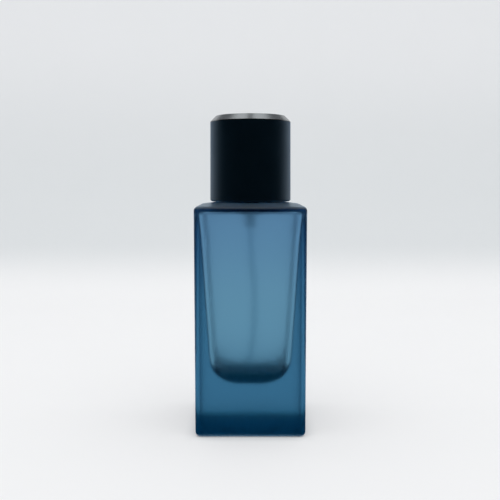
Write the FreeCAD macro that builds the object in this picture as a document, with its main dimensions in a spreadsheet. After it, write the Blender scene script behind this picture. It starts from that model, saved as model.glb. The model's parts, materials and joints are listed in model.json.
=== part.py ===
import FreeCAD
import Part
import Sketcher
import math
import os
import re

# A square glass aftershave bottle with a crimped spray pump and a round pull-off cap.
# Millimetres, +Z up, origin at the centre of the base, spray hole towards -Y.

sizes = {
    # Glass body
    "body_width": 40.0,
    "body_depth": 40.0,
    "body_height": 83.0,
    "edge_radius": 2.0,
    "heel_radius": 1.6,
    "shoulder_radius": 1.4,
    "shoulder_rise": 1.3,
    "shoulder_run": 6.4,
    "land_flat": 0.4,
    "punt_depth": 0.7,
    "punt_width": 27.0,
    "punt_slope": 2.0,
    # Blown cavity: wall beside it at four heights, where those heights lie, and the round bowl below
    "mouth_wall": 1.4,
    "chest_wall": 2.4,
    "waist_wall": 3.7,
    "hip_wall": 4.9,
    "mouth_drop": 1.6,
    "chest_drop": 13.0,
    "waist_drop": 35.0,
    "bowl_height": 12.2,
    "bowl_flat": 9.0,
    "bowl_steps": 8,
    "base_thickness": 17.0,
    "cavity_corner": 3.4,
    "mouth_round": 1.2,
    "throat_rise": 1.4,
    # Crimp neck
    "neck_width": 13.3,
    "neck_height": 6.0,
    "neck_bore": 10.0,
    "bead_width": 15.0,
    "bead_height": 3.6,
    "bead_chamfer": 0.5,
    # Pump stack on the neck
    "gasket_thickness": 0.8,
    "gasket_inset": 0.3,
    "flange_thickness": 1.0,
    "flange_width": 14.2,
    "guide_thickness": 1.0,
    "guide_width": 13.0,
    "guide_plug": 0.6,
    "nose_width": 6.8,
    "nose_height": 2.0,
    "washer_thickness": 0.5,
    "ferrule_wall": 0.4,
    "ferrule_lip": 0.6,
    # Pump cylinder, ball valve and dip tube
    "cylinder_bore": 6.4,
    "cylinder_wall": 0.9,
    "floor_thickness": 0.8,
    "ball_width": 2.0,
    "ball_lift": 0.8,
    "ball_room": 0.25,
    "ball_lip": 0.3,
    "seat_height": 0.7,
    "inlet_bore": 1.4,
    "inlet_length": 0.6,
    "socket_wall": 0.9,
    "socket_depth": 3.6,
    "tube_width": 2.9,
    "tube_bore": 1.7,
    "tube_straight": 4.2,
    "tube_upper_bend": 150.0,
    "tube_lower_bend": 110.0,
    "tube_bow_rise": 26.0,
    "tube_tip_room": 2.0,
    # Plunger
    "stroke": 3.4,
    "stem_width": 3.5,
    "stem_bore": 1.8,
    "stem_rise": 10.5,
    "stem_flange_width": 5.4,
    "stem_flange": 0.5,
    "spigot_width": 3.0,
    "spigot_length": 1.2,
    "piston_height": 2.6,
    "piston_waist": 5.2,
    "piston_lip": 0.5,
    "piston_skirt": 0.7,
    "piston_skirt_wall": 0.4,
    "outlet_bore": 1.8,
    "pin_flange_width": 5.0,
    "pin_flange": 0.5,
    "pin_cone_width": 2.8,
    "pin_tip_width": 1.0,
    "pin_cone_height": 0.8,
    "pin_tail_width": 3.4,
    "pin_tail": 2.0,
    "spring_wire": 0.45,
    "spring_width": 4.9,
    "spring_length": 6.2,
    "spring_coils": 4.5,
    "spring_sides": 6,
    # Collar
    "collar_width": 24.4,
    "collar_wall": 0.5,
    "collar_chamfer": 0.5,
    "collar_mouth": 14.7,
    "collar_overlap": 1.1,
    "insert_wall": 1.0,
    "insert_flange": 1.0,
    "shelf_thickness": 0.5,
    "shelf_width": 0.7,
    # Spray button
    "button_width": 14.0,
    "button_height": 11.9,
    "button_wall": 0.45,
    "button_chamfer": 0.6,
    "button_skirt_wall": 0.9,
    "button_recess": 1.1,
    "button_lead_in": 0.3,
    "press_room": 0.5,
    "nozzle_rise": 7.4,
    "nozzle_width": 4.2,
    "nozzle_length": 2.4,
    "nozzle_wall": 0.6,
    "nozzle_cup_bore": 2.5,
    "nozzle_post_width": 2.0,
    "nozzle_sink": 0.15,
    "spray_hole": 0.4,
    "spray_dish_width": 1.8,
    "spray_dish": 0.35,
    "channel_width": 1.0,
    "passage_width": 1.4,
    # Cap
    "cap_width": 30.26,
    "cap_top_width": 29.9,
    "cap_height": 29.15,
    "cap_bore": 27.1,
    "cap_web": 1.4,
    "cap_chamfer": 0.5,
    "cap_gap": 0.35,
    "plate_height": 2.3,
    "plate_rim": 0.15,
    "plate_seam": 0.25,
    "plate_spigot": 0.8,
    "plate_spigot_width": 22.0,
    "liner_disc": 1.0,
    "liner_setback": 0.4,
    # Clearances
    "slide_gap": 0.05,
    "fit_gap": 0.05,
    "seat_gap": 0.05,
    "grip_gap": 0.1,
}

# Heights above the base and radii that follow from the sizes
derived = {
    "land_z": "body_height + shoulder_rise",
    "land_width": "body_width - 2 * shoulder_run",
    "land_depth": "body_depth - 2 * shoulder_run",
    "land_corner": "(min(land_width; land_depth) - land_flat) / 2",
    "mouth_z": "body_height - mouth_drop",
    "throat_z": "mouth_z + throat_rise",
    "bowl_wall": "(min(body_width; body_depth) - bowl_flat) / 2",
    "bowl_corner": "(bowl_flat - land_flat) / 2",
    "neck_z": "land_z + neck_height",
    "bead_z": "neck_z - bead_height",
    "gasket_z": "neck_z + gasket_thickness",
    "flange_z": "gasket_z + flange_thickness",
    "guide_z": "flange_z + guide_thickness",
    "ferrule_z": "guide_z + ferrule_wall",
    "shelf_z": "ferrule_z + shelf_thickness",
    "washer_z": "flange_z - guide_plug",
    "stop_z": "washer_z - washer_thickness - seat_gap",
    "shoulder_z": "stop_z - stem_flange",
    "piston_z": "shoulder_z - piston_height",
    "hub_z": "piston_z + piston_skirt",
    "pin_z": "hub_z - pin_cone_height + pin_reach - pin_flange",
    "pin_slope": "pin_cone_height / (pin_cone_width - pin_tip_width)",
    "pin_reach": "pin_slope * (outlet_bore - pin_tip_width) - seat_gap * 2",
    "floor_z": "pin_z - spring_length - seat_gap * 2",
    "cage_z": "floor_z - ball_lip - ball_lift - ball_width",
    "seat_z": "cage_z + seat_drop",
    "inlet_z": "seat_z - seat_height",
    "socket_z": "inlet_z - inlet_length",
    "cage_radius": "ball_width / 2 + ball_room",
    "seat_run": "cage_radius - inlet_bore / 2",
    "seat_slant": "sqrt(seat_run * seat_run + seat_height * seat_height)",
    "seat_rise": "seat_height * cage_radius / seat_run",
    "seat_drop": "ball_width / 2 * (1 - seat_slant / seat_run) + seat_rise - seat_gap",
    "socket_radius": "tube_width / 2 + fit_gap",
    "tip_z": "base_thickness + tube_tip_room",
    "button_z": "shelf_z + stroke + press_room",
    "boss_z": "button_z + button_recess",
    "stem_top_z": "guide_z + stem_rise",
    "nozzle_z": "button_z + nozzle_rise",
    "channel_rise": "nozzle_rise + (nozzle_width + nozzle_post_width) / 4",
    "collar_z": "button_z + collar_overlap",
    "ferrule_radius": "bead_width / 2 + grip_gap + ferrule_wall",
    "insert_radius": "ferrule_radius + fit_gap",
    "collar_bore_radius": "collar_width / 2 - collar_wall",
    "core_radius": "button_width / 2 - button_wall - fit_gap",
    "core_height": "button_height - button_wall - fit_gap",
    "cap_z": "cap_gap + max(land_z; button_z + button_height + liner_disc + cap_web - cap_height)",
    "web_z": "cap_z + cap_height - cap_web",
    "liner_z": "cap_z + liner_setback",
    "liner_height": "web_z - liner_z",
}

doc = FreeCAD.newDocument("aftershave_bottle")
sheet = doc.addObject("Spreadsheet::Sheet", "Dims")
for row, (alias, size) in enumerate(sizes.items(), start=1):
    sheet.set(f"A{row}", alias)
    sheet.set(f"B{row}", str(size))
    sheet.setAlias(f"B{row}", alias)
doc.recompute()


def formula(text):
    # Writes a formula of size names as an expression on the sheet's cells
    def swap(match):
        word = match.group(0)
        if word in derived:
            return "(" + formula(derived[word]) + ")"
        if word in sizes:
            return "Dims." + word
        return word
    return re.sub(r"[a-z_]+", swap, text)


def value(text):
    return float(sheet.evalExpression(formula(text)))


def bind(thing, path, text):
    thing.setExpression(path, formula(text))


def new_body(name, level="0"):
    body = doc.addObject("PartDesign::Body", name)
    body.Label = name
    if level != "0":
        bind(body, "Placement.Base.z", level)
    return body


def new_sketch(body, name, role, offset="0"):
    sketch = body.newObject("Sketcher::SketchObject", name)
    plane = next(item for item in body.Origin.OriginFeatures if item.Role == role)
    sketch.AttachmentSupport = [(plane, "")]
    sketch.MapMode = "FlatFace"
    if offset != "0":
        bind(sketch, "AttachmentOffset.Base.z", offset)
    return sketch


def measure(sketch, kind, name, text, *ends):
    # Adds a dimension that follows the sheet
    index = sketch.addConstraint(Sketcher.Constraint(kind, *ends, value(text)))
    sketch.renameConstraint(index, name)
    bind(sketch, "Constraints." + name, text)


def pin_point(sketch, item, end, across, up):
    # Holds one point of a sketch at a place given by two formulas
    for kind, axis, text in (("DistanceX", -2, across), ("DistanceY", -1, up)):
        if text == "0":
            sketch.addConstraint(Sketcher.Constraint("PointOnObject", item, end, axis))
        else:
            measure(sketch, kind, f"{kind}_{item}_{end}", text, -1, 1, item, end)


def draw_outline(sketch, corners):
    # Closed outline of straight runs. A corner with a third entry starts an arc of that radius
    # to the next corner, bulging to the right of the way along it.
    points = [FreeCAD.Vector(value(corner[0]), value(corner[1]), 0) for corner in corners]
    ends = []
    for index, corner in enumerate(corners):
        start = points[index]
        stop = points[(index + 1) % len(points)]
        if len(corner) == 2:
            sketch.addGeometry(Part.LineSegment(start, stop))
        else:
            radius = value(corner[2])
            chord = stop - start
            side = FreeCAD.Vector(-chord.y, chord.x, 0).normalize()
            centre = (start + stop) * 0.5 + side * math.sqrt(radius ** 2 - chord.Length ** 2 / 4)
            first = math.atan2(start.y - centre.y, start.x - centre.x)
            last = math.atan2(stop.y - centre.y, stop.x - centre.x)
            circle = Part.Circle(centre, FreeCAD.Vector(0, 0, 1), radius)
            sketch.addGeometry(Part.ArcOfCircle(circle, first, last))
        ends.append((index, 2, (index + 1) % len(corners), 1))
    for joint in ends:
        sketch.addConstraint(Sketcher.Constraint("Coincident", *joint))
    for index, corner in enumerate(corners):
        pin_point(sketch, index, 1, corner[0], corner[1])
        if len(corner) == 3:
            measure(sketch, "Radius", f"Radius_{index}", corner[2], index)


def draw_rounded_square(sketch, width, depth, radius):
    # Rectangle about the origin with four round corners
    half_x = value(width) / 2
    half_y = value(depth) / 2
    corner = value(radius)
    run_x = half_x - corner
    run_y = half_y - corner
    walls = [
        ((-run_x, -half_y), (run_x, -half_y), (run_x, -run_y)),
        ((half_x, -run_y), (half_x, run_y), (run_x, run_y)),
        ((run_x, half_y), (-run_x, half_y), (-run_x, run_y)),
        ((-half_x, run_y), (-half_x, -run_y), (-run_x, -run_y)),
    ]
    for quarter, (start, stop, centre) in enumerate(walls):
        sketch.addGeometry(Part.LineSegment(FreeCAD.Vector(*start, 0), FreeCAD.Vector(*stop, 0)))
        circle = Part.Circle(FreeCAD.Vector(*centre, 0), FreeCAD.Vector(0, 0, 1), corner)
        first = (quarter - 1) * math.pi / 2
        sketch.addGeometry(Part.ArcOfCircle(circle, first, first + math.pi / 2))
    for item in range(8):
        sketch.addConstraint(Sketcher.Constraint("Tangent", item, 2, (item + 1) % 8, 1))
    for item in (0, 4):
        sketch.addConstraint(Sketcher.Constraint("Horizontal", item))
        sketch.addConstraint(Sketcher.Constraint("Vertical", item + 2))
    for item in (3, 5, 7):
        sketch.addConstraint(Sketcher.Constraint("Equal", 1, item))
    sketch.addConstraint(Sketcher.Constraint("Symmetric", 1, 3, 5, 3, -1, 1))
    measure(sketch, "DistanceX", "width", width, 6, 1, 2, 1)
    measure(sketch, "DistanceY", "depth", depth, 0, 1, 4, 1)
    measure(sketch, "Radius", "corner", radius, 1)


def turn(body, name, corners, kind="Revolution"):
    # Turns an outline of (radius, height) corners about the upright axis
    sketch = new_sketch(body, name + "_profile", "XZ_Plane")
    draw_outline(sketch, corners)
    feature = body.newObject("PartDesign::" + kind, name)
    feature.Profile = sketch
    feature.ReferenceAxis = (sketch, ["V_Axis"])
    feature.Angle = 360
    return feature


def turned_body(name, level, corners):
    body = new_body(name, level)
    turn(body, name + "_turn", corners)
    return body


def edge_names(feature, wanted):
    doc.recompute()
    return [f"Edge{index}" for index, edge in enumerate(feature.Shape.Edges, start=1) if wanted(edge)]


def round_edges(body, name, radius, wanted):
    base = body.Tip
    names = edge_names(base, wanted)
    fillet = body.newObject("PartDesign::Fillet", name)
    fillet.Base = (base, names)
    bind(fillet, "Radius", radius)
    return fillet


def lies_at(height):
    # Test for edges that lie level at one height
    level = value(height)

    def wanted(edge):
        box = edge.BoundBox
        return abs(box.ZMin - level) < 0.01 and abs(box.ZMax - level) < 0.01
    return wanted


def loft(body, name, kind, sections, ruled):
    # Each section is (width, depth, corner radius, height)
    sketches = []
    for index, (width, depth, corner, height) in enumerate(sections):
        sketch = new_sketch(body, f"{name}_section_{index}", "XY_Plane", height)
        draw_rounded_square(sketch, width, depth, corner)
        sketches.append(sketch)
    doc.recompute()
    feature = body.newObject("PartDesign::" + kind, name)
    feature.Profile = sketches[0]
    feature.Sections = sketches[1:]
    feature.Ruled = ruled
    return feature


def cavity_section(wall, corner, height):
    return (f"body_width - 2 * {wall}", f"body_depth - 2 * {wall}", corner, height)


def make_glass_bottle():
    body = new_body("glass_bottle")
    outline = new_sketch(body, "body_outline", "XY_Plane")
    draw_rounded_square(outline, "body_width", "body_depth", "edge_radius")
    block = body.newObject("PartDesign::Pad", "body_block")
    block.Profile = outline
    bind(block, "Length", "body_height")
    loft(body, "shoulder", "AdditiveLoft", [
        ("body_width", "body_depth", "edge_radius", "body_height"),
        ("land_width", "land_depth", "land_corner", "land_z"),
    ], True)
    round_edges(body, "shoulder_rounding", "shoulder_radius", lies_at("body_height"))
    round_edges(body, "heel_rounding", "heel_radius", lies_at("0"))
    turn(body, "neck", [
        ("0", "body_height"),
        ("neck_width / 2", "body_height"),
        ("neck_width / 2", "bead_z"),
        ("bead_width / 2", "bead_z + (bead_width - neck_width) / 2"),
        ("bead_width / 2", "neck_z - bead_chamfer"),
        ("bead_width / 2 - bead_chamfer", "neck_z"),
        ("0", "neck_z"),
    ])
    turn(body, "punt", [
        ("0", "0"),
        ("punt_width / 2", "0"),
        ("punt_width / 2 - punt_slope", "punt_depth"),
        ("0", "punt_depth"),
    ], "Groove")
    # The blown hollow: flaring walls, a bowl that rounds off to the floor along a quarter ellipse,
    # a sloping ceiling, and the bore of the neck
    mouth = cavity_section("mouth_wall", "cavity_corner", "mouth_z")
    walls = [
        mouth,
        cavity_section("chest_wall", "cavity_corner", "body_height - chest_drop"),
        cavity_section("waist_wall", "cavity_corner", "body_height - waist_drop"),
    ]
    steps = round(value("bowl_steps"))
    for step in range(steps + 1):
        inward = 1 - math.cos(math.pi / 2 * step / steps)
        upward = 1 - math.sin(math.pi / 2 * step / steps)
        walls.append(cavity_section(
            f"(hip_wall + (bowl_wall - hip_wall) * {inward:.6f})",
            f"cavity_corner + (bowl_corner - cavity_corner) * {inward:.6f}",
            f"base_thickness + bowl_height * {upward:.6f}"))
    loft(body, "cavity_walls", "SubtractiveLoft", walls, True)
    throat_corner = "(neck_bore - land_flat) / 2"
    loft(body, "cavity_ceiling", "SubtractiveLoft", [
        mouth, ("neck_bore", "neck_bore", throat_corner, "throat_z"),
    ], True)
    turn(body, "neck_passage", [
        ("0", "mouth_z"),
        ("neck_bore / 2", "mouth_z"),
        ("neck_bore / 2", "neck_z"),
        ("0", "neck_z"),
    ], "Groove")
    round_edges(body, "mouth_rounding", "mouth_round", lies_at("mouth_z"))
    return body


def make_neck_gasket():
    return turned_body("neck_gasket", "neck_z", [
        ("neck_bore / 2 + gasket_inset", "0"),
        ("bead_width / 2 - gasket_inset", "0"),
        ("bead_width / 2 - gasket_inset", "gasket_thickness"),
        ("neck_bore / 2 + gasket_inset", "gasket_thickness"),
    ])


def make_pump_housing():
    barrel = "cylinder_bore / 2 + cylinder_wall"
    nozzle = "socket_radius + socket_wall"
    return turned_body("pump_housing", "0", [
        ("cylinder_bore / 2", "flange_z"),
        ("cylinder_bore / 2", "floor_z"),
        ("ball_width / 2 - ball_room / 2", "floor_z"),
        ("ball_width / 2 - ball_room / 2", "floor_z - ball_lip"),
        ("cage_radius", "floor_z - ball_lip"),
        ("cage_radius", "seat_z"),
        ("inlet_bore / 2", "inlet_z"),
        ("inlet_bore / 2", "socket_z"),
        ("socket_radius", "socket_z"),
        ("socket_radius", "socket_z - socket_depth"),
        (nozzle, "socket_z - socket_depth"),
        (nozzle, "seat_z"),
        (barrel, "floor_z - floor_thickness"),
        (barrel, "gasket_z"),
        ("flange_width / 2", "gasket_z"),
        ("flange_width / 2", "flange_z"),
    ])


def make_dip_tube():
    body = new_body("dip_tube")
    path = new_sketch(body, "tube_route", "XZ_Plane")
    top = value("socket_z - seat_gap")
    knee = value("socket_z - tube_straight")
    upper = value("tube_upper_bend")
    lower = value("tube_lower_bend")
    bow = value("tip_z + tube_bow_rise")
    lean = math.asin((knee - bow) / (upper + lower))
    hook = math.asin(value("tube_bow_rise") / lower)
    flat = FreeCAD.Vector(0, 0, 1)
    path.addGeometry(Part.LineSegment(FreeCAD.Vector(0, top, 0), FreeCAD.Vector(0, knee, 0)))
    first = Part.Circle(FreeCAD.Vector(upper, knee, 0), flat, upper)
    path.addGeometry(Part.ArcOfCircle(first, math.pi, math.pi + lean))
    centre = FreeCAD.Vector(upper - (upper + lower) * math.cos(lean), bow, 0)
    second = Part.Circle(centre, flat, lower)
    path.addGeometry(Part.ArcOfCircle(second, -hook, lean))
    pin_point(path, 0, 1, "0", "socket_z - seat_gap")
    pin_point(path, 0, 2, "0", "socket_z - tube_straight")
    path.addConstraint(Sketcher.Constraint("Tangent", 0, 2, 1, 1))
    path.addConstraint(Sketcher.Constraint("Tangent", 1, 2, 2, 2))
    measure(path, "Radius", "upper_bend", "tube_upper_bend", 1)
    measure(path, "Radius", "lower_bend", "tube_lower_bend", 2)
    measure(path, "DistanceY", "bow_height", "tip_z + tube_bow_rise", -1, 1, 2, 3)
    measure(path, "DistanceY", "tip_height", "tip_z", -1, 1, 2, 1)
    ring = new_sketch(body, "tube_section", "XY_Plane", "socket_z - seat_gap")
    for index, width in enumerate(("tube_width", "tube_bore")):
        ring.addGeometry(Part.Circle(FreeCAD.Vector(0, 0, 0), flat, value(width) / 2))
        ring.addConstraint(Sketcher.Constraint("Coincident", index, 3, -1, 1))
        measure(ring, "Diameter", width, width, index)
    doc.recompute()
    pipe = body.newObject("PartDesign::AdditivePipe", "tube")
    pipe.Profile = ring
    pipe.Spine = (path, [])
    return body


def make_inlet_ball():
    ball = doc.addObject("Part::Sphere", "inlet_ball")
    ball.Label = "inlet_ball"
    bind(ball, "Radius", "ball_width / 2")
    bind(ball, "Placement.Base.z", "cage_z + ball_width / 2")
    return ball


def make_return_spring():
    # The wire is drawn with flat sides, which keeps the hidden coil light
    body = new_body("return_spring", "floor_z + seat_gap")
    wire = new_sketch(body, "spring_section", "XZ_Plane")
    corners = []
    for side in range(sizes["spring_sides"]):
        turned = f"{side} * 360 deg / spring_sides"
        across = f"spring_width / 2 - spring_wire / 2 * (1 + cos({turned}))"
        corners.append((across, f"spring_wire / 2 * (1 - sin({turned}))"))
    draw_outline(wire, corners)
    coil = body.newObject("PartDesign::AdditiveHelix", "coil")
    coil.Profile = wire
    coil.ReferenceAxis = (wire, ["V_Axis"])
    coil.Mode = "height-turns-angle"
    bind(coil, "Height", "spring_length - spring_wire")
    bind(coil, "Turns", "spring_coils")
    return body


def make_valve_pin():
    return turned_body("valve_pin", "pin_z", [
        ("0", "0 - pin_tail"),
        ("pin_tail_width / 2 - pin_flange", "0 - pin_tail"),
        ("pin_tail_width / 2", "pin_flange - pin_tail"),
        ("pin_tail_width / 2", "0"),
        ("pin_flange_width / 2", "0"),
        ("pin_flange_width / 2", "pin_flange"),
        ("pin_cone_width / 2", "pin_flange"),
        ("pin_tip_width / 2", "pin_flange + pin_cone_height"),
        ("0", "pin_flange + pin_cone_height"),
    ])


def make_piston():
    lip = "cylinder_bore / 2 - slide_gap"
    skirt = "cylinder_bore / 2 - slide_gap - piston_skirt_wall"
    socket = "spigot_width / 2 + fit_gap"
    return turned_body("piston", "piston_z", [
        ("outlet_bore / 2", "piston_skirt"),
        (skirt, "piston_skirt"),
        (skirt, "0"),
        (lip, "0"),
        (lip, "piston_lip"),
        ("piston_waist / 2", "piston_lip * 2"),
        ("piston_waist / 2", "piston_height - piston_lip * 2"),
        (lip, "piston_height - piston_lip"),
        (lip, "piston_height"),
        (socket, "piston_height"),
        (socket, "piston_height - spigot_length - seat_gap"),
        ("outlet_bore / 2", "piston_height - spigot_length - seat_gap"),
    ])


def make_stem():
    return turned_body("stem", "0", [
        ("stem_bore / 2", "shoulder_z - spigot_length"),
        ("spigot_width / 2", "shoulder_z - spigot_length"),
        ("spigot_width / 2", "shoulder_z"),
        ("stem_flange_width / 2", "shoulder_z"),
        ("stem_flange_width / 2", "shoulder_z + stem_flange"),
        ("stem_width / 2", "shoulder_z + stem_flange"),
        ("stem_width / 2", "stem_top_z"),
        ("stem_bore / 2", "stem_top_z"),
    ])


def make_inner_gasket():
    return turned_body("inner_gasket", "washer_z - washer_thickness", [
        ("stem_width / 2 + slide_gap", "0"),
        ("cylinder_bore / 2 - fit_gap", "0"),
        ("cylinder_bore / 2 - fit_gap", "washer_thickness"),
        ("stem_width / 2 + slide_gap", "washer_thickness"),
    ])


def make_turret():
    return turned_body("turret", "flange_z", [
        ("stem_width / 2 + slide_gap", "0 - guide_plug"),
        ("cylinder_bore / 2 - fit_gap", "0 - guide_plug"),
        ("cylinder_bore / 2 - fit_gap", "0"),
        ("guide_width / 2", "0"),
        ("guide_width / 2", "guide_thickness"),
        ("nose_width / 2", "guide_thickness"),
        ("nose_width / 2", "guide_thickness + nose_height"),
        ("stem_width / 2 + slide_gap", "guide_thickness + nose_height"),
    ])


def make_crimp_ferrule():
    inner = "bead_width / 2 + grip_gap"
    turned_in = "neck_width / 2 + grip_gap + bead_width / 2 - neck_width / 2 - ferrule_lip"
    hole = "nose_width / 2 + grip_gap"
    return turned_body("crimp_ferrule", "0", [
        (hole, "guide_z"),
        (inner, "guide_z"),
        (inner, "bead_z - seat_gap"),
        (turned_in, "bead_z - seat_gap"),
        (turned_in, "bead_z - seat_gap - ferrule_wall"),
        ("ferrule_radius - ferrule_wall", "bead_z - seat_gap - ferrule_wall"),
        ("ferrule_radius", "bead_z - seat_gap"),
        ("ferrule_radius", "ferrule_z - ferrule_wall"),
        ("ferrule_radius - ferrule_wall", "ferrule_z"),
        (hole, "ferrule_z"),
    ])


def make_collar_insert():
    tube = "insert_radius + insert_wall"
    rim = "collar_bore_radius - fit_gap"
    top = "collar_z - collar_wall - seat_gap"
    bottom = "land_z + seat_gap * 2"
    return turned_body("collar_insert", "0", [
        ("insert_radius", bottom),
        (rim, bottom),
        (rim, bottom + " + insert_flange"),
        (tube, bottom + " + insert_flange"),
        (tube, top + " - insert_flange"),
        (rim, top + " - insert_flange"),
        (rim, top),
        ("insert_radius", top),
        ("insert_radius", "shelf_z"),
        ("insert_radius - shelf_width", "shelf_z"),
        ("insert_radius - shelf_width", "ferrule_z + seat_gap"),
        ("insert_radius", "ferrule_z + seat_gap"),
    ])


def make_collar_shell():
    return turned_body("collar_shell", "0", [
        ("collar_bore_radius", "land_z + seat_gap"),
        ("collar_width / 2", "land_z + seat_gap"),
        ("collar_width / 2", "collar_z - collar_chamfer"),
        ("collar_width / 2 - collar_chamfer", "collar_z"),
        ("collar_mouth / 2", "collar_z"),
        ("collar_mouth / 2", "collar_z - collar_wall"),
        ("collar_bore_radius", "collar_z - collar_wall"),
    ])


def bore_across(body, name, width, height, depth, start="0"):
    # Round cut towards the front, from a plane that lies start in front of the axis
    sketch = new_sketch(body, name + "_circle", "XZ_Plane", start)
    centre = FreeCAD.Vector(0, value(height), 0)
    sketch.addGeometry(Part.Circle(centre, FreeCAD.Vector(0, 0, 1), value(width) / 2))
    pin_point(sketch, 0, 3, "0", height)
    measure(sketch, "Diameter", "bore", width, 0)
    cut = body.newObject("PartDesign::Pocket", name)
    cut.Profile = sketch
    cut.Reversed = True
    bind(cut, "Length", depth)
    return sketch


def make_actuator_core():
    skirt = "core_radius - button_skirt_wall"
    socket = "stem_width / 2 + slide_gap"
    boss = "nose_width / 2"
    hollow = "nozzle_rise - nozzle_width / 2 - button_skirt_wall"
    passage_top = "channel_rise + (channel_width + passage_width) / 2"
    body = turned_body("actuator_core", "button_z", [
        (socket + " + button_lead_in", "boss_z - button_z"),
        (boss, "boss_z - button_z"),
        (boss, hollow),
        (skirt, hollow),
        (skirt, "0"),
        ("core_radius", "0"),
        ("core_radius", "core_height"),
        ("0", "core_height"),
        ("0", passage_top),
        ("passage_width / 2", passage_top),
        ("passage_width / 2", "stem_top_z - button_z + seat_gap"),
        (socket, "stem_top_z - button_z + seat_gap"),
        (socket, "boss_z - button_z + button_lead_in"),
    ])
    rear = "button_width / 2 - nozzle_sink - nozzle_length - seat_gap"
    pocket = bore_across(body, "nozzle_pocket", "nozzle_width + 2 * fit_gap", "nozzle_rise",
                         "nozzle_length * 2", rear)
    centre = FreeCAD.Vector(0, value("nozzle_rise"), 0)
    pocket.addGeometry(Part.Circle(centre, FreeCAD.Vector(0, 0, 1), value("nozzle_post_width / 2")))
    pocket.addConstraint(Sketcher.Constraint("Coincident", 0, 3, 1, 3))
    measure(pocket, "Diameter", "post", "nozzle_post_width", 1)
    bore_across(body, "post_face", "nozzle_width", "nozzle_rise", "nozzle_length * 2",
                "button_width / 2 - nozzle_sink - nozzle_wall - seat_gap * 2")
    bore_across(body, "spray_channel", "channel_width", "channel_rise", rear + " + seat_gap")
    return body


def make_actuator_shell():
    body = turned_body("actuator_shell", "button_z", [
        ("button_width / 2 - button_wall", "0"),
        ("button_width / 2", "0"),
        ("button_width / 2", "button_height - button_chamfer"),
        ("button_width / 2 - button_chamfer", "button_height"),
        ("0", "button_height"),
        ("0", "button_height - button_wall"),
        ("button_width / 2 - button_wall", "button_height - button_wall"),
    ])
    bore_across(body, "nozzle_window", "nozzle_width + 4 * fit_gap", "nozzle_rise", "button_width")
    return body


def make_nozzle_insert():
    body = turned_body("nozzle_insert", "nozzle_z", [
        ("nozzle_cup_bore / 2", "0"),
        ("nozzle_width / 2", "0"),
        ("nozzle_width / 2", "nozzle_length"),
        ("spray_dish_width / 2", "nozzle_length"),
        ("spray_hole / 2", "nozzle_length - spray_dish"),
        ("spray_hole / 2", "nozzle_length - nozzle_wall"),
        ("nozzle_cup_bore / 2", "nozzle_length - nozzle_wall"),
    ])
    body.Placement.Rotation = FreeCAD.Rotation(FreeCAD.Vector(1, 0, 0), 90)
    bind(body, "Placement.Base.y", "nozzle_sink + nozzle_length - button_width / 2")
    return body


def make_cap_shell():
    recess = "plate_spigot_width / 2 + fit_gap"
    return turned_body("cap_shell", "cap_z", [
        ("cap_bore / 2", "0"),
        ("cap_width / 2 - cap_chamfer", "0"),
        ("cap_width / 2", "cap_chamfer"),
        ("cap_top_width / 2", "cap_height"),
        (recess, "cap_height"),
        (recess, "cap_height - plate_spigot - seat_gap"),
        ("0", "cap_height - plate_spigot - seat_gap"),
        ("0", "cap_height - cap_web"),
        ("cap_bore / 2", "cap_height - cap_web"),
    ])


def make_cap_top_plate():
    rim = "cap_top_width / 2"
    return turned_body("cap_top_plate", "cap_z + cap_height", [
        ("0", "0 - plate_spigot"),
        ("plate_spigot_width / 2", "0 - plate_spigot"),
        ("plate_spigot_width / 2", "0"),
        (rim + " - plate_seam", "0"),
        (rim + " - plate_seam", "plate_seam / 2"),
        (rim, "plate_seam / 2"),
        (rim, "plate_seam / 2 + plate_rim"),
        (rim + " - plate_height + plate_seam / 2 + plate_rim", "plate_height"),
        ("0", "plate_height"),
    ])


def make_cap_liner():
    outer = "cap_bore / 2 - fit_gap"
    inner = "collar_width / 2 + grip_gap"
    return turned_body("cap_liner", "liner_z", [
        (inner, "0"),
        (outer, "0"),
        (outer, "liner_height"),
        ("0", "liner_height"),
        ("0", "liner_height - liner_disc"),
        (inner, "liner_height - liner_disc"),
    ])


makers = [
    make_glass_bottle,
    make_neck_gasket,
    make_pump_housing,
    make_dip_tube,
    make_inlet_ball,
    make_return_spring,
    make_valve_pin,
    make_piston,
    make_stem,
    make_inner_gasket,
    make_turret,
    make_crimp_ferrule,
    make_collar_insert,
    make_collar_shell,
    make_actuator_core,
    make_actuator_shell,
    make_nozzle_insert,
    make_cap_shell,
    make_cap_top_plate,
    make_cap_liner,
]
pieces = [make() for make in makers]
doc.recompute()

for item in doc.Objects:
    if "Invalid" in item.State or "Error" in item.State:
        raise RuntimeError(f"{item.Label} failed: {item.State}")
for piece in pieces:
    if piece.Shape.isNull() or not piece.Shape.isValid() or len(piece.Shape.Solids) != 1:
        raise RuntimeError(f"{piece.Label} is not one valid solid")

os.makedirs("parts", exist_ok=True)
for piece in pieces:
    piece.Shape.exportStep(f"parts/{piece.Label}.step")
    print(f"{piece.Label}: {piece.Shape.Volume:.2f} mm3")
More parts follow.
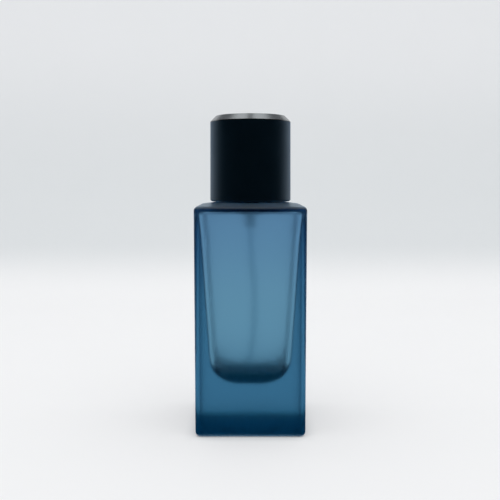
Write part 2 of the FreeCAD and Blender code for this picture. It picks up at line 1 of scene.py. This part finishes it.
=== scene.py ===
import bpy
import json
import math
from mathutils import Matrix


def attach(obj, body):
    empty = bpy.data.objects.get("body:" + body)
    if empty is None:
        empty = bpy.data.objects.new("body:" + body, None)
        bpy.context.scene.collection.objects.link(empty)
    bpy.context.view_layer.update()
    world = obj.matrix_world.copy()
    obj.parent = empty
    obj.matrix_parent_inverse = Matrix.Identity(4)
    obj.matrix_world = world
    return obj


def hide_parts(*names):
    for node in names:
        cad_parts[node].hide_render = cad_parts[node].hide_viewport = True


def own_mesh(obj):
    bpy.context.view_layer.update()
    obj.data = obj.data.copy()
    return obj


# Aftershave bottle: blue satin glass, crimped spray pump, pull-off black cap
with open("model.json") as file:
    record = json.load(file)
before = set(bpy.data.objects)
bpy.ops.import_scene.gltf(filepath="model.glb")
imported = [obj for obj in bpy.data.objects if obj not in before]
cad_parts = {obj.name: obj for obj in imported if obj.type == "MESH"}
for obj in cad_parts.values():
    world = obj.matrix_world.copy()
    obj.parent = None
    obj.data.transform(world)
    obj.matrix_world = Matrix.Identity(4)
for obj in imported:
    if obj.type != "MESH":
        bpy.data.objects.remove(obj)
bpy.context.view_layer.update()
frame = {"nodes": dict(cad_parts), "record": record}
nodes = frame["nodes"]
scene = bpy.context.scene
mm = 0.001
print("frame:", len(nodes), "CAD nodes")


def linear(hexColour):
    # sRGB hex to the linear colour that shaders take
    parts = [int(hexColour[i:i + 2], 16) / 255 for i in (1, 3, 5)]
    return tuple(p / 12.92 if p <= 0.04045 else ((p + 0.055) / 1.055) ** 2.4 for p in parts) + (1.0,)


def addNode(tree, kind, sockets=None, **settings):
    # A socket gets a plain value, or a link when the value is another node's output
    node = tree.nodes.new(kind)
    for name, setting in settings.items():
        setattr(node, name, setting)
    for name, source in (sockets or {}).items():
        if isinstance(source, bpy.types.NodeSocket):
            tree.links.new(source, node.inputs[name])
        else:
            node.inputs[name].default_value = source
    return node


def startMaterial(name):
    # An empty material, and the place on the object, in metres, that its patterns start from
    material = bpy.data.materials.new(name)
    material.use_nodes = True
    tree = material.node_tree
    tree.nodes.clear()
    return material, tree, addNode(tree, "ShaderNodeTexCoord").outputs["Object"]


def mottle(tree, finish, pattern):
    # Colour and roughness that drift together with one pattern
    shade = addNode(tree, "ShaderNodeMix", {
        "Factor": pattern, "A": linear(finish["dark"]), "B": linear(finish["pale"])}, data_type="RGBA")
    low, high = finish["roughness"]
    rough = addNode(tree, "ShaderNodeMapRange", {"Value": pattern, "To Min": low, "To Max": high})
    return shade.outputs["Result"], rough.outputs["Result"]


def widest(tree, axes):
    # Distance from the upright axis, measured as a square does
    sides = []
    for axis in "XY":
        side = addNode(tree, "ShaderNodeMath", {0: axes.outputs[axis]}, operation="ABSOLUTE")
        sides.append(side.outputs[0])
    return addNode(tree, "ShaderNodeMath", {0: sides[0], 1: sides[1]}, operation="MAXIMUM").outputs[0]


# Camera
cameraSetup = {
    "place": (-0.15, -260.0, 92.8),  # mm
    "tilt": 84.12,                   # degrees up from straight down
    "lens": 49.46,                   # mm
    "clipStart": 10.0,               # mm
}


def makeCamera(setup):
    data = bpy.data.cameras.new("camera")
    data.lens = setup["lens"]
    data.clip_start = setup["clipStart"] * mm
    camera = bpy.data.objects.new("camera", data)
    camera.location = [v * mm for v in setup["place"]]
    camera.rotation_euler = (math.radians(setup["tilt"]), 0, 0)
    scene.collection.objects.link(camera)
    scene.camera = camera


makeCamera(cameraSetup)
scene.view_settings.view_transform = "Standard"
print("camera set")


# Studio: a paper sweep, two soft boxes above, a grey room, a dark flag round the front. Lengths in mm.
studio = {
    "halfWidth": 900.0,
    "front": -1300.0,
    "coveStart": 250.0,
    "coveRadius": 150.0,
    "wallTop": 420.0,
    "coveSteps": 16,
    "clear": 0.05,               # the paper lies this far under the base, so that the two faces stay apart
    "paper": "#ecedee",
    "pulp": "#e9eaeb",
    "pulpSize": 40.0,
    "paperRoughness": 0.9,
    "floorGlow": "#f4f4f5",      # how the evenly lit paper looks on the floor
    "wallGlow": "#c5cbce",       # on the wall
    "topGlow": "#dcdee1",        # and at the top of the wall
    "wallRise": (0.0, 38.0),     # heights between which one goes over into the next
    "topRise": (75.0, 230.0),
    "glowShare": 0.5,
    "contactShadowReach": (18.0, 25.0),   # painted contact shadow: under the bottle little of that glow is left
    "contactShadowGlow": 0.15,
    "room": "#9a9c9f",           # what reflections and the other views see past the paper
    "fill": "#f6f7f8",           # the even light that comes back from the room
    "boxPlace": (250.0, -60.0, 820.0),
    "boxSize": (420.0, 520.0),
    "boxPower": 0.9,             # watts
    "flagHalfAngle": 100.0,      # degrees
    "flagSteps": 24,
    "flagTop": (200.0, 500.0),   # radius and height of each rim
    "flagFoot": (200.0, 0.2),
    "matEdge": 20.6,             # half the square opening that the bottle stands in
    "clothDark": "#040405",
    "clothPale": "#070708",
    "clothWeave": 2.0,
}


def seenRay(tree):
    # 1 for what the eye sees, straight or in a reflection or through glass
    ray = addNode(tree, "ShaderNodeLightPath")
    seen = addNode(tree, "ShaderNodeMath", {
        0: ray.outputs["Is Camera Ray"], 1: ray.outputs["Is Glossy Ray"]}, operation="MAXIMUM")
    return addNode(tree, "ShaderNodeMath", {
        0: seen.outputs[0], 1: ray.outputs["Is Transmission Ray"]}, operation="MAXIMUM").outputs[0]


def paperMaterial(setup):
    # Matt background paper: even, with the faint mottle of its pulp. Part of its paleness is a plain glow,
    # so that the shadow stays light; under the bottle that glow fades out, a painted contact shadow.
    material, tree, place = startMaterial("mattBackgroundPaper")
    axes = addNode(tree, "ShaderNodeSeparateXYZ", {0: place})
    glow = linear(setup["floorGlow"])
    for name, rise in (("wallGlow", "wallRise"), ("topGlow", "topRise")):
        low, high = setup[rise]
        climb = addNode(tree, "ShaderNodeMapRange", {
            "Value": axes.outputs["Z"], "From Min": low * mm, "From Max": high * mm},
            interpolation_type="SMOOTHSTEP")
        glow = addNode(tree, "ShaderNodeMix", {
            "Factor": climb.outputs[0], "A": glow, "B": linear(setup[name])},
            data_type="RGBA").outputs["Result"]
    shine = addNode(tree, "ShaderNodeEmission", {"Color": glow})

    pulp = addNode(tree, "ShaderNodeTexNoise", {
        "Vector": place, "Scale": 1 / (setup["pulpSize"] * mm), "Detail": 4.0})
    shade = addNode(tree, "ShaderNodeMix", {
        "Factor": pulp.outputs["Fac"], "A": linear(setup["pulp"]), "B": linear(setup["paper"])},
        data_type="RGBA")
    matt = addNode(tree, "ShaderNodeBsdfPrincipled", {
        "Base Color": shade.outputs["Result"], "Roughness": setup["paperRoughness"]})

    # Painted contact shadow: the glow fades to a little of itself under the bottle
    near, far = setup["contactShadowReach"]
    away = addNode(tree, "ShaderNodeMapRange", {
        "Value": widest(tree, axes), "From Min": near * mm, "From Max": far * mm,
        "To Min": setup["contactShadowGlow"]}, interpolation_type="SMOOTHSTEP")
    share = addNode(tree, "ShaderNodeMath", {0: seenRay(tree), 1: away.outputs[0]}, operation="MULTIPLY")
    share = addNode(tree, "ShaderNodeMath", {
        0: share.outputs[0], 1: setup["glowShare"]}, operation="MULTIPLY")
    surface = addNode(tree, "ShaderNodeMixShader", {
        0: share.outputs[0], 1: matt.outputs["BSDF"], 2: shine.outputs["Emission"]})
    addNode(tree, "ShaderNodeOutputMaterial", {"Surface": surface.outputs["Shader"]})
    return material


def clothMaterial(setup):
    # Black flag cloth, woven: takes light out of reflections
    material, tree, place = startMaterial("blackFlagCloth")
    weave = addNode(tree, "ShaderNodeTexNoise", {"Vector": place, "Scale": 1 / (setup["clothWeave"] * mm)})
    shade = addNode(tree, "ShaderNodeMix", {
        "Factor": weave.outputs["Fac"], "A": linear(setup["clothDark"]), "B": linear(setup["clothPale"])},
        data_type="RGBA")
    surface = addNode(tree, "ShaderNodeBsdfPrincipled", {
        "Base Color": shade.outputs["Result"], "Roughness": 1.0})
    addNode(tree, "ShaderNodeOutputMaterial", {"Surface": surface.outputs["BSDF"]})
    return material


def stripMesh(name, profile, spanOf):
    # A sheet swept between two edges for each point of a profile
    points, faces = [], []
    for index, step in enumerate(profile):
        points += spanOf(step)
        if index:
            faces.append((2 * index - 2, 2 * index - 1, 2 * index + 1, 2 * index))
    mesh = bpy.data.meshes.new(name)
    mesh.from_pydata([[v * mm for v in p] for p in points], [], faces)
    for face in mesh.polygons:
        face.use_smooth = True
    sheet = bpy.data.objects.new(name, mesh)
    scene.collection.objects.link(sheet)
    return sheet


def makeSweep(setup):
    side, start, radius = setup["halfWidth"], setup["coveStart"], setup["coveRadius"]
    profile = [(setup["front"], 0.0)]
    for step in range(setup["coveSteps"] + 1):
        turn = math.pi / 2 * step / setup["coveSteps"]
        profile.append((start + radius * math.sin(turn), radius - radius * math.cos(turn)))
    profile.append((start + radius, setup["wallTop"]))

    def edges(point):
        return [(x, point[0], point[1] - setup["clear"]) for x in (-side, side)]

    sweep = stripMesh("paperSweep", profile, edges)
    sweep.data.materials.append(paperMaterial(setup))


def makeFlag(setup):
    # The flag and the mat at its foot are seen only by reflections: they keep the front of the cap and
    # the glass dark
    reach = math.radians(setup["flagHalfAngle"])
    arc = [-reach + 2 * reach * i / setup["flagSteps"] for i in range(setup["flagSteps"] + 1)]
    foot, top = setup["flagFoot"], setup["flagTop"]

    def around(turn, radius, height):
        return (radius * math.sin(turn), -radius * math.cos(turn), height)

    def flagRims(turn):
        return [around(turn, *foot), around(turn, *top)]

    def matRims(turn):
        inner = setup["matEdge"] / max(abs(math.sin(turn)), abs(math.cos(turn)))
        return [around(turn, inner, foot[1]), around(turn, *foot)]

    cloth = clothMaterial(setup)
    for name, rims in (("darkFlag", flagRims), ("darkMat", matRims)):
        sheet = stripMesh(name, arc, rims)
        for kind in ("camera", "diffuse", "transmission", "shadow", "volume_scatter"):
            setattr(sheet, "visible_" + kind, False)
        sheet.data.materials.append(cloth)


def makeLight(setup):
    x, y, z = setup["boxPlace"]
    for name, sign in (("softBoxLeft", -1), ("softBoxRight", 1)):
        lamp = bpy.data.lights.new(name, "AREA")
        lamp.shape = "RECTANGLE"
        lamp.size, lamp.size_y = [v * mm for v in setup["boxSize"]]
        lamp.energy = setup["boxPower"]
        box = bpy.data.objects.new(name, lamp)
        box.location = (sign * x * mm, y * mm, z * mm)
        box.rotation_euler = (0, sign * math.atan2(x, z), 0)
        scene.collection.objects.link(box)

    world = bpy.data.worlds.new("studio")
    scene.world = world
    world.use_nodes = True
    tree = world.node_tree
    tree.nodes.clear()
    light = addNode(tree, "ShaderNodeMix", {
        "Factor": seenRay(tree), "A": linear(setup["fill"]), "B": linear(setup["room"])}, data_type="RGBA")
    sky = addNode(tree, "ShaderNodeBackground", {"Color": light.outputs["Result"]})
    addNode(tree, "ShaderNodeOutputWorld", {"Surface": sky.outputs[0]})


makeSweep(studio)
makeFlag(studio)
makeLight(studio)
print("studio set")


# Bottle glass
glassFinish = {
    "lacquerIn": "#e7f1f6",       # what the lacquer lets in
    "lacquerOut": "#84b2c9",      # what it lets out, or throws back inside
    "topLacquer": "#76a2c5",      # the same near the shoulder: darker towards the top
    "shoulderRise": (35.0, 82.0),    # mm
    "underShadeTint": "#1aa4c0",     # the same under the base, darker: painted shade where the base stands on the paper
    "bare": "#ffffff",            # no lacquer, in the hollow
    "topLightTint": "#9fb4c2",            # a pale diffuse layer on whatever faces up: painted top light on the shoulder
    "topLightShare": 0.08,
    "topLightTilt": (0.3, 0.9),       # the upright part of the face's direction
    "absorbColour": "#79c4da",
    "absorbDensity": 42.0,        # per metre
    "index": 1.5,
    "roughness": (0.30, 0.38),
    "baseRoughness": 0.45,
    "innerRoughness": 0.12,       # the skin that blowing left, which softens the shade in the bowl
    "hollowReach": 19.0,          # mm: the hollow is nearer the axis than this,
    "hollowFloor": 5.0,           # above this
    "hollowTop": 82.9,            # and below this
    "underTop": 1.0,              # mm, the underside is below this
    "waveSize": 14.0,             # mm between the soft waves that blowing left inside
    "waveDepth": 0.012,
    "grainSize": 0.35,            # mm, drawn coarser than the real frosting so that it shows
}


def glassMaterial(finish):
    # Flint glass, blown, with a translucent blue satin lacquer outside: deep colour in the thick base,
    # soft edges, and a clear hollow with faint waves. The lacquer turns darker towards the shoulder, the
    # underside carries painted shade, and a pale layer on whatever faces up is painted top light.
    material, tree, place = startMaterial("blueLacqueredFlintGlass")
    axes = addNode(tree, "ShaderNodeSeparateXYZ", {0: place})
    height = axes.outputs["Z"]
    limits = (
        (widest(tree, axes), finish["hollowReach"], "LESS_THAN"),
        (height, finish["hollowFloor"], "GREATER_THAN"),
        (height, finish["hollowTop"], "LESS_THAN"))
    hollow = 1.0
    for measure, limit, test in limits:
        within = addNode(tree, "ShaderNodeMath", {0: measure, 1: limit * mm}, operation=test)
        hollow = addNode(tree, "ShaderNodeMath", {
            0: hollow, 1: within.outputs[0]}, operation="MULTIPLY").outputs[0]
    under = addNode(tree, "ShaderNodeMath", {
        0: height, 1: finish["underTop"] * mm}, operation="LESS_THAN").outputs[0]

    # Colour, layer by layer
    low, high = finish["shoulderRise"]
    climb = addNode(tree, "ShaderNodeMapRange", {
        "Value": height, "From Min": low * mm, "From Max": high * mm}, interpolation_type="SMOOTHSTEP")
    inside = addNode(tree, "ShaderNodeNewGeometry").outputs["Backfacing"]
    leaving = addNode(tree, "ShaderNodeMix", {
        "Factor": climb.outputs[0], "A": linear(finish["lacquerOut"]), "B": linear(finish["topLacquer"])},
        data_type="RGBA")
    # Painted shade: under the base the lacquer turns darker
    leaving = addNode(tree, "ShaderNodeMix", {
        "Factor": under, "A": leaving.outputs["Result"], "B": linear(finish["underShadeTint"])},
        data_type="RGBA")
    lacquer = addNode(tree, "ShaderNodeMix", {
        "Factor": inside, "A": linear(finish["lacquerIn"]), "B": leaving.outputs["Result"]},
        data_type="RGBA")
    tint = addNode(tree, "ShaderNodeMix", {
        "Factor": hollow, "A": lacquer.outputs["Result"], "B": linear(finish["bare"])}, data_type="RGBA")

    # Satin outside, smoother inside
    grain = addNode(tree, "ShaderNodeTexNoise", {
        "Vector": place, "Scale": 1 / (finish["grainSize"] * mm), "Detail": 2.0})
    low, high = finish["roughness"]
    satin = addNode(tree, "ShaderNodeMapRange", {
        "Value": grain.outputs["Fac"], "To Min": low, "To Max": high})
    outer = addNode(tree, "ShaderNodeMix", {
        "Factor": under, "A": satin.outputs[0], "B": finish["baseRoughness"]})
    rough = addNode(tree, "ShaderNodeMix", {
        "Factor": hollow, "A": outer.outputs["Result"], "B": finish["innerRoughness"]})
    wave = addNode(tree, "ShaderNodeTexNoise", {
        "Vector": place, "Scale": 1 / (finish["waveSize"] * mm), "Detail": 1.0})
    bump = addNode(tree, "ShaderNodeBump", {
        "Height": wave.outputs["Fac"], "Strength": 1.0, "Distance": finish["waveDepth"] * mm})
    glass = addNode(tree, "ShaderNodeBsdfGlass", {
        "Color": tint.outputs["Result"], "Roughness": rough.outputs["Result"], "IOR": finish["index"],
        "Normal": bump.outputs["Normal"]})

    # Painted top light: a pale diffuse layer on whatever faces up, outside the hollow
    facing = addNode(tree, "ShaderNodeSeparateXYZ", {
        0: addNode(tree, "ShaderNodeNewGeometry").outputs["Normal"]})
    low, high = finish["topLightTilt"]
    facingUp = addNode(tree, "ShaderNodeMapRange", {
        "Value": facing.outputs["Z"], "From Min": low, "From Max": high, "To Max": finish["topLightShare"]})
    outside = addNode(tree, "ShaderNodeMath", {0: 1.0, 1: hollow}, operation="SUBTRACT")
    share = addNode(tree, "ShaderNodeMath", {
        0: facingUp.outputs[0], 1: outside.outputs[0]}, operation="MULTIPLY")
    topLightLayer = addNode(tree, "ShaderNodeBsdfDiffuse", {"Color": linear(finish["topLightTint"])})
    surface = addNode(tree, "ShaderNodeMixShader", {
        0: share.outputs[0], 1: glass.outputs["BSDF"], 2: topLightLayer.outputs["BSDF"]})

    depth = addNode(tree, "ShaderNodeVolumeAbsorption", {
        "Color": linear(finish["absorbColour"]), "Density": finish["absorbDensity"]})
    addNode(tree, "ShaderNodeOutputMaterial", {
        "Surface": surface.outputs["Shader"], "Volume": depth.outputs["Volume"]})
    return material


# Cap shell
capFinish = {
    "dark": "#01050a",
    "pale": "#050b11",
    "glossTint": "#7cd3ff",
    "velvet": "#2a8fd0",
    "roughness": (0.38, 0.46),
    "cloudSize": 9.0,       # mm
    "grainSize": 0.25,
    "grainDepth": 0.01,
}


def softTouchMaterial(finish):
    # Polypropylene with a sprayed soft-touch black coat: no mirror, a broad grey edge where it turns away
    material, tree, place = startMaterial("softTouchBlackPolypropylene")
    cloud = addNode(tree, "ShaderNodeTexNoise", {
        "Vector": place, "Scale": 1 / (finish["cloudSize"] * mm), "Detail": 3.0})
    grain = addNode(tree, "ShaderNodeTexNoise", {
        "Vector": place, "Scale": 1 / (finish["grainSize"] * mm), "Detail": 2.0})
    shade, rough = mottle(tree, finish, cloud.outputs["Fac"])
    bump = addNode(tree, "ShaderNodeBump", {
        "Height": grain.outputs["Fac"], "Strength": 0.5, "Distance": finish["grainDepth"] * mm})
    surface = addNode(tree, "ShaderNodeBsdfPrincipled", {
        "Base Color": shade, "Roughness": rough, "IOR": 1.5,
        "Specular IOR Level": 0.45, "Specular Tint": linear(finish["glossTint"]),
        "Sheen Weight": 0.3, "Sheen Tint": linear(finish["velvet"]), "Sheen Roughness": 0.4,
        "Normal": bump.outputs["Normal"]})
    addNode(tree, "ShaderNodeOutputMaterial", {"Surface": surface.outputs["BSDF"]})
    return material


# Cap top plate
plateFinish = {
    "dark": "#76797b",
    "pale": "#8c9092",
    "roughness": (0.18, 0.30),
    "ringPitch": 0.3,       # mm, drawn coarser than the real turning marks so that they show
    "ringDepth": 0.003,
}


def turnedMaterial(finish):
    # Aluminium, turned and satin polished: fine rings about the axis and a soft glow across them
    material, tree, place = startMaterial("turnedSatinAluminium")
    flat = addNode(tree, "ShaderNodeVectorMath", {0: place, 1: (1.0, 1.0, 0.0)}, operation="MULTIPLY")
    reach = addNode(tree, "ShaderNodeVectorMath", {0: flat.outputs[0]}, operation="LENGTH")
    rings = addNode(tree, "ShaderNodeTexNoise", {
        "W": reach.outputs["Value"], "Scale": 1 / (finish["ringPitch"] * mm), "Detail": 3.0},
        noise_dimensions="1D")
    shade, rough = mottle(tree, finish, rings.outputs["Fac"])
    bump = addNode(tree, "ShaderNodeBump", {
        "Height": rings.outputs["Fac"], "Strength": 0.6, "Distance": finish["ringDepth"] * mm})
    surface = addNode(tree, "ShaderNodeBsdfPrincipled", {
        "Base Color": shade, "Metallic": 1.0, "Roughness": rough, "Normal": bump.outputs["Normal"]})
    addNode(tree, "ShaderNodeOutputMaterial", {"Surface": surface.outputs["BSDF"]})
    return material


# Collar and button cover
anodFinish = {
    "dark": "#17181a",
    "pale": "#1f2022",
    "roughness": (0.31, 0.41),
    "cloudSize": 4.0,       # mm
    "beadSize": 0.12,       # the dimples of bead blasting
    "beadDepth": 0.004,
    "wear": "#3a3b3d",
    "wearShare": 0.6,
    "wearEdge": (0.52, 0.6),    # how sharp an edge starts to rub, and is rubbed most
}


def anodisedMaterial(finish):
    # Aluminium, bead blasted and anodised black: a dry satin glow, and edges rubbed a little paler
    material, tree, place = startMaterial("blackAnodisedAluminium")
    beads = addNode(tree, "ShaderNodeTexVoronoi", {
        "Vector": place, "Scale": 1 / (finish["beadSize"] * mm)})
    cloud = addNode(tree, "ShaderNodeTexNoise", {
        "Vector": place, "Scale": 1 / (finish["cloudSize"] * mm), "Detail": 3.0})
    shade, rough = mottle(tree, finish, cloud.outputs["Fac"])
    low, high = finish["wearEdge"]
    rubbed = addNode(tree, "ShaderNodeMapRange", {
        "Value": addNode(tree, "ShaderNodeNewGeometry").outputs["Pointiness"],
        "From Min": low, "From Max": high, "To Max": finish["wearShare"]})
    worn = addNode(tree, "ShaderNodeMix", {
        "Factor": rubbed.outputs[0], "A": shade, "B": linear(finish["wear"])}, data_type="RGBA")
    bump = addNode(tree, "ShaderNodeBump", {
        "Height": beads.outputs["Distance"], "Strength": 0.5, "Distance": finish["beadDepth"] * mm})
    surface = addNode(tree, "ShaderNodeBsdfPrincipled", {
        "Base Color": worn.outputs["Result"], "Metallic": 1.0, "Roughness": rough,
        "Normal": bump.outputs["Normal"]})
    addNode(tree, "ShaderNodeOutputMaterial", {"Surface": surface.outputs["BSDF"]})
    return material


# Ferrule
ferruleFinish = {
    "dark": "#b9babb",
    "pale": "#cfd0d1",
    "roughness": (0.18, 0.30),
    "scoreWidth": 0.18,             # mm
    "scoreDepth": 0.002,
    "stretch": (1.0, 1.0, 0.03),    # draws the marks out along the axis
}


def drawnMaterial(finish):
    # Aluminium sheet, deep drawn: bright, with fine upright score marks from the die
    material, tree, place = startMaterial("drawnBrightAluminium")
    along = addNode(tree, "ShaderNodeVectorMath", {0: place, 1: finish["stretch"]}, operation="MULTIPLY")
    score = addNode(tree, "ShaderNodeTexNoise", {
        "Vector": along.outputs[0], "Scale": 1 / (finish["scoreWidth"] * mm), "Detail": 2.0})
    shade, rough = mottle(tree, finish, score.outputs["Fac"])
    bump = addNode(tree, "ShaderNodeBump", {
        "Height": score.outputs["Fac"], "Strength": 0.5, "Distance": finish["scoreDepth"] * mm})
    surface = addNode(tree, "ShaderNodeBsdfPrincipled", {
        "Base Color": shade, "Metallic": 1.0, "Roughness": rough, "Normal": bump.outputs["Normal"]})
    addNode(tree, "ShaderNodeOutputMaterial", {"Surface": surface.outputs["BSDF"]})
    return material


# Spring and inlet ball
steelFinish = {
    "dark": "#9d9e9d",
    "pale": "#b4b5b4",
    "roughness": (0.20, 0.34),
    "scratchSize": 0.1,     # mm
    "scratchDepth": 0.002,
}


def steelMaterial(finish):
    # Stainless steel, drawn and tumbled: grey and bright, with a fine scratch
    material, tree, place = startMaterial("tumbledStainlessSteel")
    scratch = addNode(tree, "ShaderNodeTexNoise", {
        "Vector": place, "Scale": 1 / (finish["scratchSize"] * mm), "Detail": 3.0, "Distortion": 1.5})
    shade, rough = mottle(tree, finish, scratch.outputs["Fac"])
    bump = addNode(tree, "ShaderNodeBump", {
        "Height": scratch.outputs["Fac"], "Strength": 0.4, "Distance": finish["scratchDepth"] * mm})
    surface = addNode(tree, "ShaderNodeBsdfPrincipled", {
        "Base Color": shade, "Metallic": 1.0, "Roughness": rough, "Normal": bump.outputs["Normal"]})
    addNode(tree, "ShaderNodeOutputMaterial", {"Surface": surface.outputs["BSDF"]})
    return material


# Pump, collar insert and cap liner
pumpFinish = {
    "name": "mouldedNaturalPolypropylene",
    "dark": "#c9ccca",
    "pale": "#dcdedc",
    "roughness": (0.33, 0.43),
    "clear": 0.4,
    "index": 1.49,
    "milkShare": 0.3,
    "milkDepth": 0.8,       # mm that light spreads under the skin
    "flowSize": 5.0,        # mm
    "frostSize": 0.2,
    "frostDepth": 0.004,
}
# The pump cylinder is the same plastic, wetted, with a lower index so that it hardly shows in the glass
wetFinish = dict(
    pumpFinish, name="wetNaturalPolypropylene", dark="#e2e6e8", pale="#eff2f3", clear=0.95, index=1.12)


def naturalMaterial(finish):
    # Natural polypropylene, moulded: milky, a little see-into, with soft flow clouds and a dull skin
    material, tree, place = startMaterial(finish["name"])
    flow = addNode(tree, "ShaderNodeTexNoise", {
        "Vector": place, "Scale": 1 / (finish["flowSize"] * mm), "Detail": 3.0, "Distortion": 0.6})
    frost = addNode(tree, "ShaderNodeTexNoise", {
        "Vector": place, "Scale": 1 / (finish["frostSize"] * mm)})
    shade, rough = mottle(tree, finish, flow.outputs["Fac"])
    bump = addNode(tree, "ShaderNodeBump", {
        "Height": frost.outputs["Fac"], "Strength": 0.4, "Distance": finish["frostDepth"] * mm})
    surface = addNode(tree, "ShaderNodeBsdfPrincipled", {
        "Base Color": shade, "Roughness": rough, "IOR": finish["index"],
        "Subsurface Weight": finish["milkShare"], "Subsurface Radius": (1.0, 1.0, 1.0),
        "Subsurface Scale": finish["milkDepth"] * mm, "Transmission Weight": finish["clear"],
        "Normal": bump.outputs["Normal"]})
    addNode(tree, "ShaderNodeOutputMaterial", {"Surface": surface.outputs["BSDF"]})
    return material


# Dip tube
tubeFinish = {
    "dark": "#e8edf0",
    "pale": "#f4f7f8",
    "roughness": (0.18, 0.26),
    "index": 1.03,
    "drawSize": 1.2,                # mm
    "stretch": (1.0, 1.0, 0.08),    # draws the lines out along the tube
}


def tubeMaterial(finish):
    # Polyethylene, extruded: a hazy, nearly clear tube with faint draw lines. Its index is lower than
    # true, so that it hardly shows in the glass.
    material, tree, place = startMaterial("extrudedClearPolyethylene")
    along = addNode(tree, "ShaderNodeVectorMath", {0: place, 1: finish["stretch"]}, operation="MULTIPLY")
    draw = addNode(tree, "ShaderNodeTexNoise", {
        "Vector": along.outputs[0], "Scale": 1 / (finish["drawSize"] * mm), "Detail": 2.0})
    shade, rough = mottle(tree, finish, draw.outputs["Fac"])
    surface = addNode(tree, "ShaderNodeBsdfPrincipled", {
        "Base Color": shade, "Roughness": rough, "IOR": finish["index"], "Transmission Weight": 1.0})
    addNode(tree, "ShaderNodeOutputMaterial", {"Surface": surface.outputs["BSDF"]})
    return material


# Button core and nozzle
coreFinish = {
    "dark": "#0a0b0c",
    "pale": "#121314",
    "roughness": (0.35, 0.48),
    "sparkSize": 0.15,      # mm
    "sparkDepth": 0.006,
}


def blackMaterial(finish):
    # Black polypropylene, moulded in a spark-eroded tool: dull black with a fine tooth
    material, tree, place = startMaterial("mouldedBlackPolypropylene")
    spark = addNode(tree, "ShaderNodeTexNoise", {
        "Vector": place, "Scale": 1 / (finish["sparkSize"] * mm), "Detail": 3.0})
    shade, rough = mottle(tree, finish, spark.outputs["Fac"])
    bump = addNode(tree, "ShaderNodeBump", {
        "Height": spark.outputs["Fac"], "Strength": 0.5, "Distance": finish["sparkDepth"] * mm})
    surface = addNode(tree, "ShaderNodeBsdfPrincipled", {
        "Base Color": shade, "Roughness": rough, "IOR": 1.49, "Normal": bump.outputs["Normal"]})
    addNode(tree, "ShaderNodeOutputMaterial", {"Surface": surface.outputs["BSDF"]})
    return material


# Gaskets
gasketFinish = {
    "dark": "#8d8e8a",
    "pale": "#a3a4a0",
    "roughness": (0.62, 0.78),
    "talcSize": 0.4,        # mm
    "talcDepth": 0.006,
}


def rubberMaterial(finish):
    # Nitrile rubber, moulded and cut: grey, dead matt, with a bloom of talc
    material, tree, place = startMaterial("mouldedNitrileRubber")
    talc = addNode(tree, "ShaderNodeTexNoise", {
        "Vector": place, "Scale": 1 / (finish["talcSize"] * mm), "Detail": 4.0})
    shade, rough = mottle(tree, finish, talc.outputs["Fac"])
    bump = addNode(tree, "ShaderNodeBump", {
        "Height": talc.outputs["Fac"], "Strength": 0.5, "Distance": finish["talcDepth"] * mm})
    surface = addNode(tree, "ShaderNodeBsdfPrincipled", {
        "Base Color": shade, "Roughness": rough, "IOR": 1.52, "Normal": bump.outputs["Normal"]})
    addNode(tree, "ShaderNodeOutputMaterial", {"Surface": surface.outputs["BSDF"]})
    return material


finishes = {
    "frosted_glass": glassMaterial(glassFinish),
    "cap_plastic": softTouchMaterial(capFinish),
    "plate_aluminium": turnedMaterial(plateFinish),
    "black_aluminium": anodisedMaterial(anodFinish),
    "ferrule_aluminium": drawnMaterial(ferruleFinish),
    "spring_steel": steelMaterial(steelFinish),
    "pump_plastic": naturalMaterial(pumpFinish),
    "tube_plastic": tubeMaterial(tubeFinish),
    "black_plastic": blackMaterial(coreFinish),
    "gasket_rubber": rubberMaterial(gasketFinish),
}
special = {"pump_housing": naturalMaterial(wetFinish)}  # instead of the finish of its slot
for part in frame["record"]["subparts"]:
    data = nodes[part["node"]].data
    data.materials.clear()
    data.materials.append(special.get(part["node"], finishes[part["material_slot"]]))
print("finishes set:", len(finishes) + len(special))


def makeSpring():
    # The same coil as the CAD spring, riding on the bottle in its place
    coil = bpy.data.objects.new("coilSpring", nodes["return_spring"].data.copy())
    scene.collection.objects.link(coil)
    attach(coil, "bottle")
    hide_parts("return_spring")
    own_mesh(coil)


makeSpring()
print("spring set")


# Shading of the blown glass
blownShade = {
    "creaseAngle": 32.0,    # degrees, a true edge folds by more
    "joinGap": 0.002,       # mm
}


def smoothBlown(node, setup):
    # The blown hollow flows without creases: join the sheets that the CAD faces were cut into, and
    # shade smooth all but the true edges
    group = bpy.data.node_groups.new("smoothBlown", "GeometryNodeTree")
    for way in ("INPUT", "OUTPUT"):
        group.interface.new_socket("Geometry", in_out=way, socket_type="NodeSocketGeometry")
    shape = addNode(group, "NodeGroupInput").outputs["Geometry"]
    for name in ("custom_normal", "sharp_edge", "sharp_face"):
        shape = addNode(group, "GeometryNodeRemoveAttribute", {"Geometry": shape, "Name": name}).outputs[0]
    shape = addNode(group, "GeometryNodeMergeByDistance", {
        "Geometry": shape, "Distance": setup["joinGap"] * mm}).outputs[0]
    fold = addNode(group, "GeometryNodeInputMeshEdgeAngle").outputs["Unsigned Angle"]
    sharp = addNode(group, "ShaderNodeMath", {
        0: fold, 1: math.radians(setup["creaseAngle"])}, operation="GREATER_THAN")
    shape = addNode(group, "GeometryNodeSetShadeSmooth", {"Geometry": shape}, domain="FACE").outputs[0]
    shape = addNode(group, "GeometryNodeSetShadeSmooth", {
        "Geometry": shape, "Selection": sharp.outputs[0], "Shade Smooth": False}, domain="EDGE").outputs[0]
    addNode(group, "NodeGroupOutput", {"Geometry": shape})
    node.modifiers.new("smoothBlown", "NODES").node_group = group


smoothBlown(nodes["glass_bottle"], blownShade)
print("hollow smoothed")
